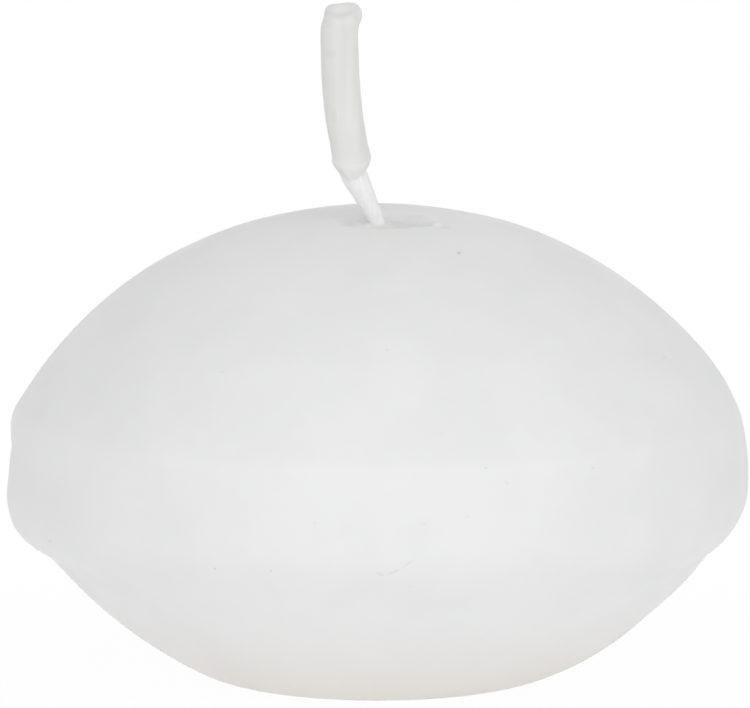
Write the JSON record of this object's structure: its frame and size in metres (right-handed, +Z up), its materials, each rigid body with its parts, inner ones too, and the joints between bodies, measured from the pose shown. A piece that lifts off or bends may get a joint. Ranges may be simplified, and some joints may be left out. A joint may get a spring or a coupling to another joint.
{
  "type": "floating candle",
  "caption": "Small white wax candle that floats upright: a round lens-shaped body with a raised band, and a bent waxed wick in a shallow dimple on top.",
  "frame": {"origin": "on the axis of the wax body, at the plane of its flat base", "axes": "+Z up along the body's axis; the wick leans to the front, -Y, and bends to the left, -X"},
  "size_m": [0.045, 0.045, 0.0417],
  "materials": {
    "body_wax": "satin over-dipped paraffin, slightly see-through at thin edges",
    "wick_cotton": "braided cotton soaked in wax",
    "coat_wax": "thin translucent wax over the braid",
    "tinplate": "dull rolled tinplate"
  },
  "bodies": {
    "root": {"wax_body": "body_wax", "wick": "wick_cotton", "wick_coat": "coat_wax", "wick_sustainer": "tinplate"}
  },
  "joints": []
}
